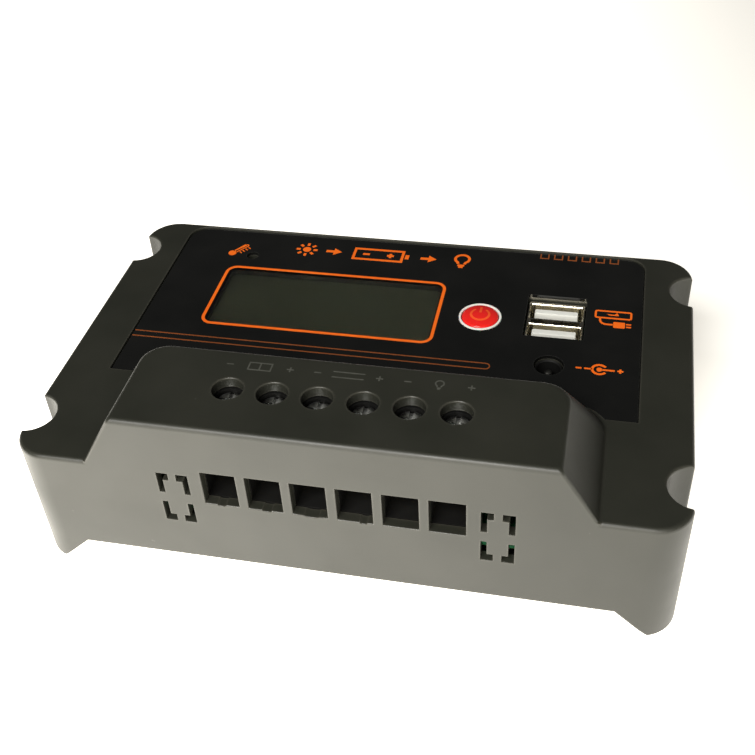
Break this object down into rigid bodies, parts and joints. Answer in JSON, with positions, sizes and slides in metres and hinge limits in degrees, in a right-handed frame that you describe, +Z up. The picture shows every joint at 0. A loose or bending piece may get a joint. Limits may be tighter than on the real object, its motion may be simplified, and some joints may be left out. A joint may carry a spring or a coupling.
{
  "type": "solar charge controller",
  "caption": "Low black housing with a raised screw-terminal hump, glossy display panel, round power button, dual USB sockets, DC jack and corner feet with wall-mounting notches.",
  "frame": {"origin": "centre of the footprint, on the soles of the feet", "axes": "+X to the right along the terminals, +Y from the terminals to the back, +Z up out of the panel"},
  "size_m": [0.152, 0.097, 0.0493],
  "materials": {
    "housing_black": "satin moulded ABS with a fine grain",
    "screw_steel": "zinc plated",
    "panel_gloss": "polished",
    "window_clear": "clear, smoked",
    "ring_white": "smooth",
    "button_red": "smooth, glossy",
    "part_black": "moulded, matt",
    "plunger_tan": "moulded",
    "board_green": "solder mask",
    "lcd_grey": "polarised glass",
    "light_guide": "diffusing",
    "tinned": "tinned",
    "sensor_black": "epoxy",
    "plated_brass": "plated",
    "shell_nickel": "nickel plated",
    "tongue_white": "moulded",
    "spreader_aluminium": "mill finish",
    "pad_grey": "silicone pad",
    "can_blue": "sleeved can",
    "ferrite": "painted ferrite",
    "copper_wire": "enamelled copper"
  },
  "bodies": {
    "housing": {"upper_housing": "housing_black", "bottom_cover": "housing_black", "cover_screws": "screw_steel", "front_panel": "panel_gloss", "display_window": "window_clear", "button_ring": "ring_white", "tact_switch_body": "part_black", "display_board": "board_green", "display_screws": "screw_steel", "lcd_holder": "part_black", "lcd_glass": "lcd_grey", "lcd_backlight": "light_guide", "lcd_pins": "tinned", "temperature_sensor": "sensor_black", "main_board": "board_green", "board_screws": "screw_steel", "board_header": "part_black", "terminal_body": "part_black", "terminal_bars": "plated_brass", "usb_shell": "shell_nickel", "usb_tongues": "tongue_white", "usb_contacts": "plated_brass", "dc_jack_body": "part_black", "dc_jack_pin": "tinned", "heat_spreader": "spreader_aluminium", "insulating_pads": "pad_grey", "mosfets": "part_black", "mosfet_leads": "tinned", "mosfet_screws": "screw_steel", "capacitors": "can_blue", "inductor_core": "ferrite", "inductor_winding": "copper_wire", "microcontroller": "part_black", "driver_chips": "part_black", "rectifier_diodes": "part_black"},
    "button": {"power_button": "button_red"},
    "switch_plunger": {"tact_switch_plunger": "plunger_tan"},
    "screw_1": {"terminal_screw_1": "screw_steel"},
    "cage_1": {"terminal_cage_1": "plated_brass"},
    "screw_2": {"terminal_screw_2": "screw_steel"},
    "cage_2": {"terminal_cage_2": "plated_brass"},
    "screw_3": {"terminal_screw_3": "screw_steel"},
    "cage_3": {"terminal_cage_3": "plated_brass"},
    "screw_4": {"terminal_screw_4": "screw_steel"},
    "cage_4": {"terminal_cage_4": "plated_brass"},
    "screw_5": {"terminal_screw_5": "screw_steel"},
    "cage_5": {"terminal_cage_5": "plated_brass"},
    "screw_6": {"terminal_screw_6": "screw_steel"},
    "cage_6": {"terminal_cage_6": "plated_brass"}
  },
  "joints": [
    {"name": "button_press", "type": "slide", "parent": "housing", "child": "button", "axis": [0, 0, -1], "range_m": [0, 0.0003], "stiffness_N_per_m": 2000, "springref_m": -0.0002},
    {"name": "plunger_press", "type": "slide", "parent": "housing", "child": "switch_plunger", "axis": [0, 0, -1], "range_m": [0, 0.0003]},
    {"name": "screw_1_turn", "type": "hinge", "parent": "housing", "child": "screw_1", "pos_m": [-0.0254, -0.0346, 0.044], "axis": [0, 0, -1], "range_deg": [0, 2160]},
    {"name": "cage_1_lift", "type": "slide", "parent": "housing", "child": "cage_1", "axis": [0, 0, 1], "range_m": [0, 0.0042]},
    {"name": "screw_2_turn", "type": "hinge", "parent": "housing", "child": "screw_2", "pos_m": [-0.01524, -0.0346, 0.044], "axis": [0, 0, -1], "range_deg": [0, 2160]},
    {"name": "cage_2_lift", "type": "slide", "parent": "housing", "child": "cage_2", "axis": [0, 0, 1], "range_m": [0, 0.0042]},
    {"name": "screw_3_turn", "type": "hinge", "parent": "housing", "child": "screw_3", "pos_m": [-0.00508, -0.0346, 0.044], "axis": [0, 0, -1], "range_deg": [0, 2160]},
    {"name": "cage_3_lift", "type": "slide", "parent": "housing", "child": "cage_3", "axis": [0, 0, 1], "range_m": [0, 0.0042]},
    {"name": "screw_4_turn", "type": "hinge", "parent": "housing", "child": "screw_4", "pos_m": [0.00508, -0.0346, 0.044], "axis": [0, 0, -1], "range_deg": [0, 2160]},
    {"name": "cage_4_lift", "type": "slide", "parent": "housing", "child": "cage_4", "axis": [0, 0, 1], "range_m": [0, 0.0042]},
    {"name": "screw_5_turn", "type": "hinge", "parent": "housing", "child": "screw_5", "pos_m": [0.01524, -0.0346, 0.044], "axis": [0, 0, -1], "range_deg": [0, 2160]},
    {"name": "cage_5_lift", "type": "slide", "parent": "housing", "child": "cage_5", "axis": [0, 0, 1], "range_m": [0, 0.0042]},
    {"name": "screw_6_turn", "type": "hinge", "parent": "housing", "child": "screw_6", "pos_m": [0.0254, -0.0346, 0.044], "axis": [0, 0, -1], "range_deg": [0, 2160]},
    {"name": "cage_6_lift", "type": "slide", "parent": "housing", "child": "cage_6", "axis": [0, 0, 1], "range_m": [0, 0.0042]}
  ],
  "couplings": [
    {"joint": "plunger_press", "follows": "button_press", "ratio": 1},
    {"joint": "screw_1_turn", "follows": "cage_1_lift", "rad_per_m": 8976},
    {"joint": "screw_2_turn", "follows": "cage_2_lift", "rad_per_m": 8976},
    {"joint": "screw_3_turn", "follows": "cage_3_lift", "rad_per_m": 8976},
    {"joint": "screw_4_turn", "follows": "cage_4_lift", "rad_per_m": 8976},
    {"joint": "screw_5_turn", "follows": "cage_5_lift", "rad_per_m": 8976},
    {"joint": "screw_6_turn", "follows": "cage_6_lift", "rad_per_m": 8976}
  ]
}
